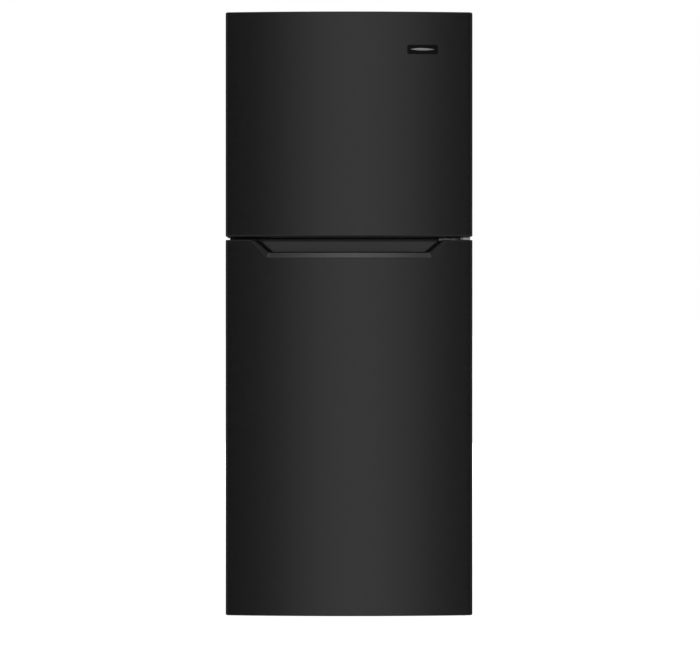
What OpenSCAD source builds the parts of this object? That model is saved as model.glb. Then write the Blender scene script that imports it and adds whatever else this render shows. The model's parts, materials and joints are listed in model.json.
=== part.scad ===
// Top freezer refrigerator: a foamed steel cabinet with two compartments, two
// right-hinged doors, a scooped handle between them and a compressor at the rear base.
// X is the width, -Y the door side and Z up. The origin is on the floor, at the centre
// of the box that encloses the closed refrigerator. Millimetres.

/* [Overall] */
// Width over the doors
overall_w = 600; // [590:1:610]
// Depth from the door's crown to the rear louvres
overall_d = 673; // [665:1:690]
// Floor to the top of the hinge cover
overall_h = 1502; // [1495:1:1520]
// Width of the steel cabinet
cabinet_w = 594; // [590:1:596]

/* [Doors] */
// Height of the freezer door
freezer_door_h = 544; // [540:1:548]
// Gap between the two doors
door_gap = 8; // [7:0.5:9]
// Floor to the lower edge of the lower door
door_clear = 25; // [24:1:28]
// Thickness of a door at its crown, without the gasket
door_t = 64; // [62:1:68]
// How far the door's front crowns from its sides to its middle
door_bulge = 7; // [5:1:12]
// Radius of the door's upright front edges
door_edge_r = 8; // [5:1:10]
// Distance of the hinge pins from the door's right side
hinge_inset = 20; // [19:0.5:22]

/* [Handle] */
// Half width of the scoop at the top of the door
scoop_top = 228; // [215:1:232]
// Half width of the scoop along its lower lip
scoop_bottom = 194; // [188:1:200]
// Height of the scoop above its lip
scoop_h = 30; // [26:1:34]
// Height of the bevelled lip below the scoop
lip_h = 15; // [12:1:18]

/* [Interior] */
// Half width inside the freezer
freezer_in = 240; // [236:1:244]
// Half width inside the refrigerator
fridge_in = 252; // [248:1:254]
// Heights of the three glass shelves' supports
shelf_heights = [292, 480, 680]; // [290:1:720]
// How far each drawer slides before it meets the closed door's bins
drawer_travel = 25; // [10:1:28]

/* [Hidden] */
$fn = 48;

// Planes across the depth, from the door's crown back to the louvres
y_crown = -overall_d / 2;
y_door_back = y_crown + door_t;
gasket_t = 12;
y_cabinet = y_door_back + gasket_t;
louvre_t = 10;
y_panel = overall_d / 2 - louvre_t;
sheet = 1;
plastic = 2;
flange_y = y_cabinet + plastic;
y_foam_back = y_panel - sheet;

// Heights
hinge_cover_h = 13;
cabinet_top = overall_h - hinge_cover_h;
cabinet_bottom = 28;
door_top = cabinet_top - 1;
freezer_door_z = door_top - freezer_door_h;
fridge_door_top = freezer_door_z - door_gap;
mullion_z = [908, 972];
freezer_z = [980, 1436];
fridge_z = [66, 900];
front_flange = 35;
liner_flange_x = cabinet_w / 2 - front_flange;
top_flange_z = cabinet_top - 33;
sill_z = 58;
freezer_back = 256;
fridge_back = 280;

// Machine compartment under the rear of the refrigerator
hump_y = 95;
hump_z = 272;
machine_y = 130;
machine_z = 236;
tray_z = 30;

// Doors
hinge_x = overall_w / 2 - hinge_inset;
hinge_y = y_crown + 36.5;
pin_r = 4;
bush_r = 4.08;
bush_outer_r = 7;
boss_r = 11;
bush_l = 20;
cap_t = 3;
return_x = 286;
gasket_x = hinge_x - 1;
gasket_w = 18;
ridge_w = 24;
ridge_y = y_door_back + 32.5;
bin_y = -170;
wall = 2.5;
front_steps = 24;
edge_steps = 6;
plate = 3;

// Handle scoop
scoop_depth = 10;
scoop_back = y_crown + 34;
scoop_draft = 15;
finger_y = y_crown + 17;
finger_drop = 18;
lip_top = 13;
lip_side = 6;

// Fittings
leg_x = 255;
leg_y = -225;
stud_r = 5;
roller_x = 250;
roller_y = 295;
roller_r = 14;
axle_r = 3;
fan_z = 1330;
compressor_at = [40, 228];
compressor_r = 80;
drain_x = 150;
knob_x = 70;
knob_z = 876;
switch_x = 218;
switch_z = 881;
gate_z = 1045;
screw_r = 2.5;
wire_shelf_z = 1214;
badge_x = 178;
badge_z = door_top - 92;
freezer_bins = [[1019, 76], [1226, 76]];
fridge_bins = [[108, 120], [392, 84], [600, 84], [776, 56]];

// A box between two corners
module slab(x, y, z)
    translate([x[0], y[0], z[0]])
        cube([x[1] - x[0], y[1] - y[0], z[1] - z[0]]);

// The same box on the left and on the right
module both_sides() {
    children();
    mirror([1, 0, 0]) children();
}

// A cylinder along +Y from one depth to another
module rod_y(x, z, r, y)
    translate([x, y[0], z]) rotate([-90, 0, 0]) cylinder(r = r, h = y[1] - y[0]);

// A cylinder along +X
module rod_x(x, y, z, r)
    translate([x[0], y, z]) rotate([0, 90, 0]) cylinder(r = r, h = x[1] - x[0]);

// A cylinder along +Z
module rod_z(x, y, z, r)
    translate([x, y, z[0]]) cylinder(r = r, h = z[1] - z[0]);

// A flat frame in the XZ plane: outer half width and heights, less a border
module frame(half, z, border, y)
    difference() {
        slab([-half, half], y, z);
        slab([-half + border, half - border], [y[0] - 1, y[1] + 1],
            [z[0] + border, z[1] - border]);
    }

// Outline of a round body for rotate_extrude, with rounded lower and upper edges
function round_body(r, z, low_r, high_r) = concat(
    [[0, z[0]]],
    [for (a = [0 : 15 : 90])
        [r - low_r + low_r * sin(a), z[0] + low_r * (1 - cos(a))]],
    [for (a = [0 : 15 : 90])
        [r - high_r + high_r * cos(a), z[1] - high_r * (1 - sin(a))]],
    [[0, z[1]]]);

// A tube swept along points, each ring square to the path's local direction
function unit(v) = v / norm(v);
function along(p, i) = unit(p[min(i + 1, len(p) - 1)] - p[max(i - 1, 0)]);
function across(d) = unit(cross(d, abs(d.z) < 0.9 ? [0, 0, 1] : [0, 1, 0]));
function ring_at(p, i, r, sides) =
    let (d = along(p, i), u = across(d), v = cross(d, u))
    [for (k = [0 : sides - 1])
        p[i] + r * (cos(360 * k / sides) * u + sin(360 * k / sides) * v)];
module tube(p, r, sides = 8) {
    n = len(p);
    points = [for (i = [0 : n - 1]) each ring_at(p, i, r, sides)];
    walls = [for (i = [0 : n - 2], k = [0 : sides - 1])
        let (a = i * sides + k, b = i * sides + (k + 1) % sides)
        each [[a, b + sides, b], [a, a + sides, b + sides]]];
    ends = [[for (k = [0 : sides - 1]) k],
        [for (k = [sides - 1 : -1 : 0]) (n - 1) * sides + k]];
    polyhedron(points, concat(walls, ends), convexity = 10);
}

// ---------------------------------------------------------------- doors

// Depth of the crowned door front at a distance from the middle
function front_y(x) = y_crown + door_bulge * pow(x / (overall_w / 2), 2);

// Outline of a door seen from above, drawn in by an inset, ending at a rear plane
function door_outline(inset, rear) =
    let (r = door_edge_r - inset, x1 = overall_w / 2 - door_edge_r,
        y1 = front_y(x1) + inset)
    concat(
        [for (i = [0 : front_steps])
            let (x = x1 * (2 * i / front_steps - 1)) [x, front_y(x) + inset]],
        [for (k = [1 : edge_steps])
            let (a = 90 * k / edge_steps) [x1 + r * sin(a), y1 + r * (1 - cos(a))]],
        [[x1 + r, rear], [-x1 - r, rear]],
        [for (k = [edge_steps : -1 : 1])
            let (a = 90 * k / edge_steps)
                [-x1 - r * sin(a), y1 + r * (1 - cos(a))]]);

module door_block(z, inset, rear)
    translate([0, 0, z[0]])
        linear_extrude(z[1] - z[0]) polygon(door_outline(inset, rear));

// Folded steel skin: crowned front, sides and narrow rear returns
module door_skin(z)
    translate([0, 0, z[0] + cap_t])
        linear_extrude(z[1] - z[0] - 2 * cap_t)
            difference() {
                polygon(door_outline(0, y_door_back - plastic));
                polygon(door_outline(sheet, y_door_back - plastic - sheet));
                translate([-return_x, y_door_back - 20])
                    square([2 * return_x, 30]);
            }

// Raised ridge of the inner door, as a frame in a given half width and height
module ridge(half, z, inset, y)
    frame(half - inset, [z[0] + inset, z[1] - inset], ridge_w - 2 * inset, y);

module door_foam(z, half, ridge_z)
    difference() {
        union() {
            door_block([z[0] + cap_t, z[1] - cap_t], sheet,
                y_door_back - plastic - sheet);
            slab([-return_x, return_x],
                [y_door_back - 10, y_door_back - plastic],
                [z[0] + cap_t, z[1] - cap_t]);
            ridge(half, ridge_z, plastic,
                [y_door_back - plastic, ridge_y - plastic]);
        }
        for (end = [[z[0], z[0] + cap_t + bush_l + 4], [z[1] - cap_t - bush_l - 4, z[1]]])
            rod_z(hinge_x, hinge_y, end, boss_r);
    }

module door_liner(z, half, ridge_z)
    difference() {
        union() {
            slab([-overall_w / 2, overall_w / 2],
                [y_door_back - plastic, y_door_back],
                [z[0] + cap_t, z[1] - cap_t]);
            ridge(half, ridge_z, 0, [y_door_back - 1, ridge_y]);
        }
        ridge(half, ridge_z, plastic,
            [y_door_back - plastic - 1, ridge_y - plastic]);
    }

// End cap plate with a stepped outer edge, and the boss that holds the bush.
// up is 1 for a cap on top of the door and -1 for one below it.
module door_cap(z, up) {
    step = 1.2;
    inner = z - up * cap_t;
    mid = z - up * step;
    difference() {
        union() {
            door_block([min(inner, mid), max(inner, mid)], 0, y_door_back);
            door_block([min(mid, z), max(mid, z)], step, y_door_back - step);
            rod_z(hinge_x, hinge_y,
                [min(inner, inner - up * (bush_l + 1)),
                    max(inner, inner - up * (bush_l + 1))], boss_r);
        }
        rod_z(hinge_x, hinge_y,
            [min(z + up, z - up * bush_l), max(z + up, z - up * bush_l)],
            bush_outer_r);
    }
}

// Nylon bush that turns on the hinge pin
module bush(z, up)
    difference() {
        rod_z(hinge_x, hinge_y, [min(z, z - up * bush_l), max(z, z - up * bush_l)],
            bush_outer_r);
        rod_z(hinge_x, hinge_y,
            [min(z + up, z - up * (bush_l - 1)), max(z + up, z - up * (bush_l - 1))],
            bush_r);
    }

module gasket(z, low)
    frame(gasket_x, [z[0] + low, z[1] - 12], gasket_w, [y_door_back, y_cabinet]);

// Open storage bin on the inner door
module door_bin(half, z, h)
    difference() {
        slab([-half, half], [y_door_back + 0.5, bin_y], [z, z + h]);
        slab([-half + wall, half - wall], [y_door_back + 0.5 + wall, bin_y - wall],
            [z + wall, z + h + 1]);
    }

// Stations across the scoop for a loft, from its left end to its right end
function stations(top, bottom) = concat([-top],
    [for (i = [-4 : 4]) bottom * i / 4], [top]);

// A loft between two scoop outlines, each with its half widths, floor and depths
module scoop_loft(top_a, bottom_a, floor_a, y_a, top_b, bottom_b, floor_b, y_b) {
    over = 6;
    high = fridge_door_top + over;
    xa = stations(top_a, bottom_a);
    xb = stations(top_b, bottom_b);
    n = len(xa);
    points = [for (i = [0 : n - 1])
        let (end = i == 0 || i == n - 1)
        each [[xa[i], y_a[i], end ? fridge_door_top : floor_a],
            [xa[i], y_a[i], high],
            [xb[i], y_b[i], high],
            [xb[i], y_b[i], end ? fridge_door_top : floor_b]]];
    walls = [for (i = [0 : n - 2], k = [0 : 3])
        let (a = 4 * i + k, b = 4 * i + (k + 1) % 4)
        each [[a, b, b + 4], [a, b + 4, a + 4]]];
    polyhedron(points, concat(walls, [[3, 2, 1, 0],
        [4 * n - 4, 4 * n - 3, 4 * n - 2, 4 * n - 1]]), convexity = 10);
}

function depths(x, in) = [for (v = x) front_y(v) + in];

// The bevel round the scoop, from the door's face down to the scoop's edge
module lip_cut() {
    outer_top = scoop_top + lip_top;
    outer_bottom = scoop_bottom + lip_side;
    scoop_loft(outer_top, outer_bottom, fridge_door_top - scoop_h - lip_h,
        depths(stations(outer_top, outer_bottom), -0.5),
        scoop_top, scoop_bottom, fridge_door_top - scoop_h,
        depths(stations(scoop_top, scoop_bottom), scoop_depth));
}

// The scoop behind the bevel, and the groove that the fingers hook into
module pocket_cut() {
    flat = [for (v = stations(1, 1)) scoop_back];
    scoop_loft(scoop_top, scoop_bottom, fridge_door_top - scoop_h,
        depths(stations(scoop_top, scoop_bottom), scoop_depth - 0.01),
        scoop_top - scoop_draft, scoop_bottom - scoop_draft,
        fridge_door_top - scoop_h, flat);
    slab([-scoop_bottom + scoop_draft, scoop_bottom - scoop_draft],
        [finger_y, scoop_back],
        [fridge_door_top - scoop_h - finger_drop, fridge_door_top - scoop_h + 1]);
}

// Upright prism with the outline of the scoop and its lip
module scoop_prism(grow, y, top) {
    outer_top = scoop_top + lip_top + grow;
    outer_bottom = scoop_bottom + lip_side + grow;
    low = fridge_door_top - scoop_h - lip_h - grow;
    translate([0, y[1], 0])
        rotate([90, 0, 0])
            linear_extrude(y[1] - y[0])
                polygon([[-outer_bottom, low], [outer_bottom, low],
                    [outer_top, fridge_door_top], [outer_top, top],
                    [-outer_top, top], [-outer_top, fridge_door_top]]);
}

freezer_door_range = [freezer_door_z, door_top];
fridge_door_range = [door_clear, fridge_door_top];
freezer_ridge = freezer_in - 14;
fridge_ridge = fridge_in - 14;
freezer_ridge_z = [freezer_z[0] + 12, freezer_z[1] - 12];
fridge_ridge_z = [fridge_z[0] + 12, fridge_z[1] - 12];
handle_back = scoop_back + wall;
handle_low = fridge_door_top - scoop_h - finger_drop - wall;
grip_half = 195;
grip_y = [y_crown + 14.5, scoop_back];
grip_h = 10;

module freezer_door_skin() color([0.07, 0.07, 0.075]) door_skin(freezer_door_range);

module freezer_door_foam()
    color([0.9, 0.85, 0.65])
        difference() {
            door_foam(freezer_door_range, freezer_ridge, freezer_ridge_z);
            slab([-grip_half - wall, grip_half + wall],
                [grip_y[0] - wall, grip_y[1] + wall],
                [freezer_door_z, freezer_door_z + grip_h + wall]);
        }

module freezer_door_liner()
    color([0.93, 0.93, 0.92])
        door_liner(freezer_door_range, freezer_ridge, freezer_ridge_z);

module freezer_door_caps()
    color([0.05, 0.05, 0.055]) {
        door_cap(door_top, 1);
        difference() {
            union() {
                door_cap(freezer_door_z, -1);
                slab([-grip_half - wall, grip_half + wall],
                    [grip_y[0] - wall, grip_y[1] + wall],
                    [freezer_door_z + 2, freezer_door_z + grip_h + wall]);
            }
            slab([-grip_half, grip_half], grip_y,
                [freezer_door_z - 1, freezer_door_z + grip_h]);
        }
        bush(door_top, 1);
        bush(freezer_door_z, -1);
    }

module freezer_door_gasket() color([0.1, 0.1, 0.1]) gasket(freezer_door_range, 12);

module freezer_door_bins()
    color([0.85, 0.9, 0.95, 0.5])
        for (bin = freezer_bins)
            door_bin(freezer_ridge - ridge_w - 0.5, bin[0], bin[1]);

// Blank name plate that follows the door's crown, with a raised plain bar
module badge()
    color([0.55, 0.55, 0.57])
        intersection() {
            difference() {
                union() {
                    translate([0, -1.2, 0])
                        door_block([badge_z - 20, badge_z + 20], 0, y_door_back);
                    intersection() {
                        translate([0, -2, 0])
                            door_block([badge_z - 3, badge_z + 3], 0, y_door_back);
                        slab([badge_x - 29, badge_x + 29], [y_crown - 5, y_crown + 20],
                            [badge_z - 3, badge_z + 3]);
                    }
                }
                door_block([badge_z - 21, badge_z + 21], 0, y_door_back + 10);
            }
            slab([badge_x - 37, badge_x + 37], [y_crown - 5, y_crown + 20],
                [badge_z - 11, badge_z + 11]);
        }

module fridge_door_skin()
    color([0.07, 0.07, 0.075])
        difference() {
            door_skin(fridge_door_range);
            scoop_prism(0, [y_crown - 5, y_crown + 20], fridge_door_top + 10);
        }

module fridge_door_foam()
    color([0.9, 0.85, 0.65])
        difference() {
            door_foam(fridge_door_range, fridge_ridge, fridge_ridge_z);
            scoop_prism(wall + 4, [y_crown, handle_back], fridge_door_top + 10);
            slab([-scoop_bottom, scoop_bottom], [y_crown, handle_back],
                [handle_low, fridge_door_top]);
        }

module fridge_door_liner()
    color([0.93, 0.93, 0.92])
        door_liner(fridge_door_range, fridge_ridge, fridge_ridge_z);

module fridge_door_caps()
    color([0.05, 0.05, 0.055]) {
        difference() {
            door_cap(fridge_door_top, 1);
            lip_cut();
            pocket_cut();
        }
        door_cap(door_clear, -1);
        bush(fridge_door_top, 1);
        bush(door_clear, -1);
    }

// Moulded insert with the bevelled lip, the scoop's back and the finger groove
module fridge_door_handle()
    color([0.09, 0.09, 0.095])
        difference() {
            union() {
                intersection() {
                    door_block([handle_low, fridge_door_top - cap_t], 0, handle_back);
                    scoop_prism(0, [y_crown - 5, handle_back],
                        fridge_door_top - cap_t);
                }
                intersection() {
                    door_block([handle_low, fridge_door_top - cap_t], sheet,
                        handle_back);
                    union() {
                        scoop_prism(wall + 4, [y_crown - 5, handle_back],
                            fridge_door_top);
                        slab([-scoop_bottom, scoop_bottom],
                            [y_crown - 5, handle_back],
                            [handle_low, fridge_door_top]);
                    }
                }
            }
            lip_cut();
            pocket_cut();
        }

module fridge_door_gasket() color([0.1, 0.1, 0.1]) gasket(fridge_door_range, 15);

module fridge_door_bins()
    color([0.85, 0.9, 0.95, 0.5])
        for (bin = fridge_bins)
            door_bin(fridge_ridge - ridge_w - 0.5, bin[0], bin[1]);

// -------------------------------------------------------------- cabinet

// Half section of the steel wrapper seen from the front, drawn in by an inset
wrap_r = 3;
function wrap_outline(inset, low) =
    let (h = cabinet_w / 2 - inset, top = cabinet_top - inset, r = wrap_r - inset)
    concat([[-h, low]],
        [for (a = [180 : -15 : 90]) [-h + r + r * cos(a), top - r + r * sin(a)]],
        [for (a = [90 : -15 : 0]) [h - r + r * cos(a), top - r + r * sin(a)]],
        [[h, low]]);

module wrap(y, inset, low)
    translate([0, y[1], 0])
        rotate([90, 0, 0])
            linear_extrude(y[1] - y[0]) polygon(wrap_outline(inset, low));

// Screw positions: the top hinge, the centre hinge and the bottom hinge
top_screws = [[226, -240], [226, -210], [276, -210]];
center_screws = [[233, 940], [254, 940]];
bottom_screws = [[240, -243], [284, -206]];

module screw_shanks(r) {
    for (p = top_screws) rod_z(p.x, p.y, [cabinet_top - 9, cabinet_top + plate], r);
    for (p = center_screws) rod_y(p.x, p.y, r, [y_cabinet - plate, y_cabinet + 9]);
}

module cabinet_shell()
    color([0.07, 0.07, 0.075])
        difference() {
            union() {
                difference() {
                    wrap([y_cabinet, y_foam_back], 0, cabinet_bottom);
                    wrap([y_cabinet - 1, y_foam_back + 1], sheet, cabinet_bottom - 1);
                }
                difference() {
                    wrap([y_cabinet, y_cabinet + sheet], 0, cabinet_bottom);
                    slab([-liner_flange_x, liner_flange_x],
                        [y_cabinet - 1, y_cabinet + 2],
                        [cabinet_bottom - 1, top_flange_z]);
                }
            }
            screw_shanks(screw_r);
        }

module back_panel()
    color([0.3, 0.3, 0.31]) {
        slab([-cabinet_w / 2, cabinet_w / 2], [y_foam_back, y_panel],
            [machine_z, cabinet_top]);
        for (x = [-210, -70, 70, 210])
            slab([x - 12, x + 12], [y_panel - 0.5, y_panel + 1.5],
                [machine_z + 60, cabinet_top - 60]);
    }

module cabinet_insulation()
    color([0.9, 0.85, 0.65])
        difference() {
            wrap([flange_y, y_foam_back], sheet, cabinet_bottom + sheet);
            // The two liners' outer sides
            slab([-freezer_in - plastic, freezer_in + plastic],
                [flange_y - 1, freezer_back + plastic],
                [freezer_z[0] - plastic, freezer_z[1] + plastic]);
            difference() {
                slab([-fridge_in - plastic, fridge_in + plastic],
                    [flange_y - 1, fridge_back + plastic],
                    [fridge_z[0] - plastic, fridge_z[1] + plastic]);
                slab([-fridge_in - 5, fridge_in + 5],
                    [hump_y + plastic, fridge_back + 5],
                    [fridge_z[0] - 5, hump_z - plastic]);
            }
            // Machine compartment, front rail and mullion rail
            slab([-cabinet_w, cabinet_w], [machine_y, y_panel],
                [0, machine_z + sheet]);
            slab([-cabinet_w, cabinet_w], [flange_y - 1, -200], [0, tray_z]);
            slab([-liner_flange_x, liner_flange_x], [flange_y - 1, flange_y + 10],
                mullion_z);
            // Shallow side pockets for the condenser, the drain and the air duct
            both_sides()
                slab([cabinet_w / 2 - 6.5, cabinet_w / 2], [-200, 285], [300, 1410]);
            slab([drain_x - 9, drain_x + 9], [227, 311], [911, 985]);
            slab([drain_x - 9, drain_x + 9], [293, 311], [machine_z, 912]);
            air_passage();
            screw_shanks(screw_r + 0.5);
            both_sides() rod_z(leg_x, leg_y, [0, 52], stud_r + 3);
        }

module freezer_liner()
    color([0.93, 0.93, 0.92]) {
        difference() {
            union() {
                slab([-freezer_in - plastic, freezer_in + plastic],
                    [y_cabinet, freezer_back + plastic],
                    [freezer_z[0] - plastic, freezer_z[1] + plastic]);
                slab([-liner_flange_x, liner_flange_x], [y_cabinet, flange_y],
                    [mullion_z[1], top_flange_z]);
            }
            slab([-freezer_in, freezer_in], [y_cabinet - 1, freezer_back],
                freezer_z);
            rod_z(drain_x, 236, [freezer_z[0] - 5, freezer_z[0] + 1], 6);
            air_passage();
        }
        // Ledges that carry the wire shelf
        both_sides()
            slab([freezer_in - 8, freezer_in + 1], [-120, 180],
                [wire_shelf_z - 12, wire_shelf_z - 2.2]);
    }

// The way the cold air goes down from the freezer to the refrigerator
module air_passage()
    slab([-40, 40], [228, 254], [fridge_z[1] - 1, freezer_z[0] + 1]);

module fridge_liner()
    color([0.93, 0.93, 0.92]) {
        difference() {
            union() {
                slab([-fridge_in - plastic, fridge_in + plastic],
                    [y_cabinet, fridge_back + plastic],
                    [fridge_z[0] - plastic, fridge_z[1] + plastic]);
                slab([-liner_flange_x, liner_flange_x], [y_cabinet, flange_y],
                    [sill_z, mullion_z[0]]);
            }
            difference() {
                slab([-fridge_in, fridge_in], [y_cabinet - 1, fridge_back],
                    fridge_z);
                slab([-fridge_in - 1, fridge_in + 1], [hump_y, fridge_back + 1],
                    [fridge_z[0] - 1, hump_z]);
            }
            slab([-fridge_in - 5, fridge_in + 5],
                [hump_y + plastic, fridge_back + 5],
                [fridge_z[0] - 5, hump_z - plastic]);
            air_passage();
        }
        // Ledges that carry the shelves
        both_sides()
            for (z = shelf_heights)
                slab([fridge_in - 8, fridge_in + 1], [-130, 250], [z - 6, z]);
    }

// Steel channel between the two openings, with the returns that stiffen it
module mullion_rail()
    color([0.07, 0.07, 0.075])
        difference() {
            slab([-liner_flange_x, liner_flange_x], [y_cabinet, flange_y + 10],
                mullion_z);
            slab([-liner_flange_x - 1, liner_flange_x + 1],
                [y_cabinet + sheet, flange_y + 11],
                [mullion_z[0] + sheet, mullion_z[1] - sheet]);
            screw_shanks(screw_r);
        }

// One bent sheet: floor, front wall and roof of the machine compartment
module base_pan()
    color([0.6, 0.62, 0.63])
        difference() {
            union() {
                slab([-cabinet_w / 2 + sheet, cabinet_w / 2 - sheet],
                    [-200, machine_y + sheet], [cabinet_bottom, cabinet_bottom + sheet]);
                slab([-cabinet_w / 2 + sheet, cabinet_w / 2 - sheet],
                    [machine_y, machine_y + sheet], [cabinet_bottom, machine_z + sheet]);
                slab([-cabinet_w / 2 + sheet, cabinet_w / 2 - sheet],
                    [machine_y, y_foam_back], [machine_z, machine_z + sheet]);
            }
            rod_z(drain_x, 302, [machine_z - 5, machine_z + 5], 9);
        }

// Sill under the opening, its rearward return, and the plates that hold the legs
module front_rail()
    color([0.07, 0.07, 0.075])
        difference() {
            union() {
                slab([-liner_flange_x, liner_flange_x], [y_cabinet, flange_y],
                    [cabinet_bottom, sill_z]);
                slab([-cabinet_w / 2 + sheet, cabinet_w / 2 - sheet],
                    [flange_y - 0.5, -200], [cabinet_bottom, tray_z]);
                both_sides()
                    slab([leg_x - 23, cabinet_w / 2 - 5], [-250, -200],
                        [cabinet_bottom - 5.5, cabinet_bottom + 1]);
            }
            both_sides() rod_z(leg_x, leg_y, [0, 40], stud_r + 0.08);
            for (p = bottom_screws) rod_z(p.x, p.y, [0, 40], screw_r);
        }

module compressor_tray()
    color([0.6, 0.62, 0.63]) {
        difference() {
            union() {
                slab([-cabinet_w / 2 + sheet, cabinet_w / 2 - sheet], [134, 322],
                    [tray_z, tray_z + 2]);
                slab([-cabinet_w / 2 + sheet, cabinet_w / 2 - sheet], [134, 136],
                    [tray_z, tray_z + 14]);
                both_sides()
                    for (x = [roller_x - 12, roller_x + 10])
                        slab([x, x + 2], [roller_y - 12, roller_y + 12], [8, tray_z + 1]);
            }
            both_sides()
                rod_x([roller_x - 20, roller_x + 20], roller_y, roller_r, axle_r);
        }
        // Roller axles, pressed into the fork ears
        both_sides() rod_x([roller_x - 13, roller_x + 13], roller_y, roller_r, axle_r);
    }

// Hermetic shell with its weld seam and foot plate
module compressor()
    color([0.06, 0.06, 0.06])
        difference() {
            union() {
                translate([compressor_at.x, compressor_at.y, 0]) {
                    rotate_extrude()
                        polygon(round_body(compressor_r, [44, 202], 30, 45));
                    rod_z(0, 0, [116, 121], compressor_r + 3);
                }
                slab([compressor_at.x - 100, compressor_at.x + 100],
                    [compressor_at.y - 74, compressor_at.y + 74], [42, 45]);
            }
            grommet_places() rod_z(0, 0, [40, 50], 6);
        }

module grommet_places()
    for (x = [-88, 88], y = [-62, 62])
        translate([compressor_at.x + x, compressor_at.y + y, 0]) children();

module compressor_grommets()
    color([0.12, 0.12, 0.12])
        grommet_places() {
            rod_z(0, 0, [tray_z + 2, 42], 10);
            rod_z(0, 0, [41, 46], 5.8);
        }

module compressor_relay()
    color([0.08, 0.08, 0.08])
        translate([compressor_at.x, compressor_at.y, 0])
            difference() {
                union() {
                    slab([-118, -70], [-24, 24], [128, 150]);
                    slab([-118, -84], [-24, 24], [86, 150]);
                    slab([-122, -117], [-15, 15], [96, 140]);
                }
                rod_z(0, 0, [80, 160], compressor_r + 0.2);
                rod_z(0, 0, [115, 122], compressor_r + 3.5);
            }

// Suction, discharge and process tubes, with the copper filter drier
function beside(angle, out, z) = [compressor_at.x + (compressor_r + out) * cos(angle),
    compressor_at.y + (compressor_r + out) * sin(angle), z];
module refrigerant_lines()
    color([0.72, 0.42, 0.25]) {
        // Suction line, up to the roof of the compartment
        tube([beside(130, 0.6, 150), beside(130, 12, 150), [-34, 308, 156],
            [-44, 311, 172], [-47, 311, 190], [-47, 311, machine_z]], 4, 10);
        // Discharge line, to the condenser in the right side wall
        tube([beside(50, 0.6, 90), beside(50, 12, 90), [116, 309, 91],
            [140, 314, 92], [200, 314, 94], [262, 314, 98], [276, 309, 100],
            [284, 300, 108], [286, 294, 124], [286, 292, machine_z]], 3, 10);
        // Process tube, pinched off
        tube([beside(225, 0.6, 100), beside(225, 12, 100), [-40, 154, 102],
            [-70, 148, 106], [-110, 146, 108]], 3, 10);
        // Filter drier, and the capillary that leaves it
        rod_z(-230, 300, [110, 200], 9);
        rod_z(-230, 300, [199, machine_z], 2);
        rod_z(-230, 300, [96, 111], 3);
    }

// Serpentine in each side wall, taped against the steel skin
condenser_runs = 10;
function run_z(i) = 360 + i * 110;
function condenser_path() = [for (i = [0 : condenser_runs - 1])
    let (away = i % 2 == 0 ? 1 : -1, z = run_z(i), half = 55, last = condenser_runs - 1)
    each concat([[0, 40 - away * 170, z], [0, 40 + away * 170, z]],
        i < last ? [for (a = [-60 : 30 : 60])
            [0, 40 + away * (170 + half * cos(a)), z + half + half * sin(a)]] : [])];

module condenser_coil()
    color([0.72, 0.42, 0.25])
        both_sides()
            translate([cabinet_w / 2 - 3.6, 0, 0]) tube(condenser_path(), 2.4, 6);

module drip_pan()
    color([0.15, 0.15, 0.16])
        difference() {
            slab([-40, 172], [150, 318], [202, 227]);
            slab([-38, 170], [152, 316], [204, 228]);
        }

module drain_tube()
    color([0.8, 0.8, 0.8])
        difference() {
            tube([[drain_x, 236, 978], [drain_x, 236, 966], [drain_x, 244, 956],
                [drain_x, 292, 926], [drain_x, 302, 916], [drain_x, 302, 900],
                [drain_x, 302, 222]], 8, 12);
            tube([[drain_x, 236, 979], [drain_x, 236, 966], [drain_x, 244, 956],
                [drain_x, 292, 926], [drain_x, 302, 916], [drain_x, 302, 900],
                [drain_x, 302, 221]], 6, 12);
        }

// Rear cover of the machine compartment, with rows of louvres
cover_z = [30, machine_z];
module machine_cover()
    color([0.1, 0.1, 0.1]) {
        difference() {
            slab([-cabinet_w / 2, cabinet_w / 2], [y_foam_back, y_panel + 6], cover_z);
            slab([-cabinet_w / 2 + 2, cabinet_w / 2 - 2],
                [y_foam_back - 1, y_panel + 4.5], [cover_z[0] + 2, cover_z[1] - 2]);
            louvre_places() slab([-85, 85], [-20, 20], [0, 7]);
            rod_y(-255, 60, 11, [y_panel, y_panel + 20]);
        }
        louvre_places()
            translate([0, 0, 7]) slab([-87, 87], [-1.5, 4], [-0.5, 1.5]);
    }

module louvre_places()
    for (x = [-110, 110], i = [0 : 8])
        translate([x, y_panel + 6, 48 + 19 * i]) children();

// Strain relief where the mains lead enters the machine compartment
module cord_gland()
    color([0.05, 0.05, 0.05])
        difference() {
            union() {
                rod_y(-255, 60, 11, [y_panel + 2, y_panel + 6]);
                rod_y(-255, 60, 14, [y_panel + 6, y_panel + 9]);
            }
            rod_y(-255, 60, 4, [y_panel, y_panel + 12]);
        }

// ----------------------------------------------------- cold air parts

module evaporator()
    color([0.8, 0.82, 0.84]) {
        for (i = [-6 : 6])
            slab([i * 30 - 0.5, i * 30 + 0.5], [208, 250], [1012, 1190]);
        for (y = [218, 240], z = [1041, 1101, 1161])
            wire_x(y, z, 4, [-186, 186]);
        for (z = [1008, 1190]) both_sides() slab([150, 170], [214, 244], [z, z + 4]);
        both_sides() slab([182, 184], [208, freezer_back], [1008, 1194]);
    }

module defrost_heater()
    color([0.7, 0.7, 0.72]) {
        rod_x([-190, 190], 229, 998, 5);
        both_sides() rod_x([190, 200], 229, 998, 7);
    }

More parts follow.
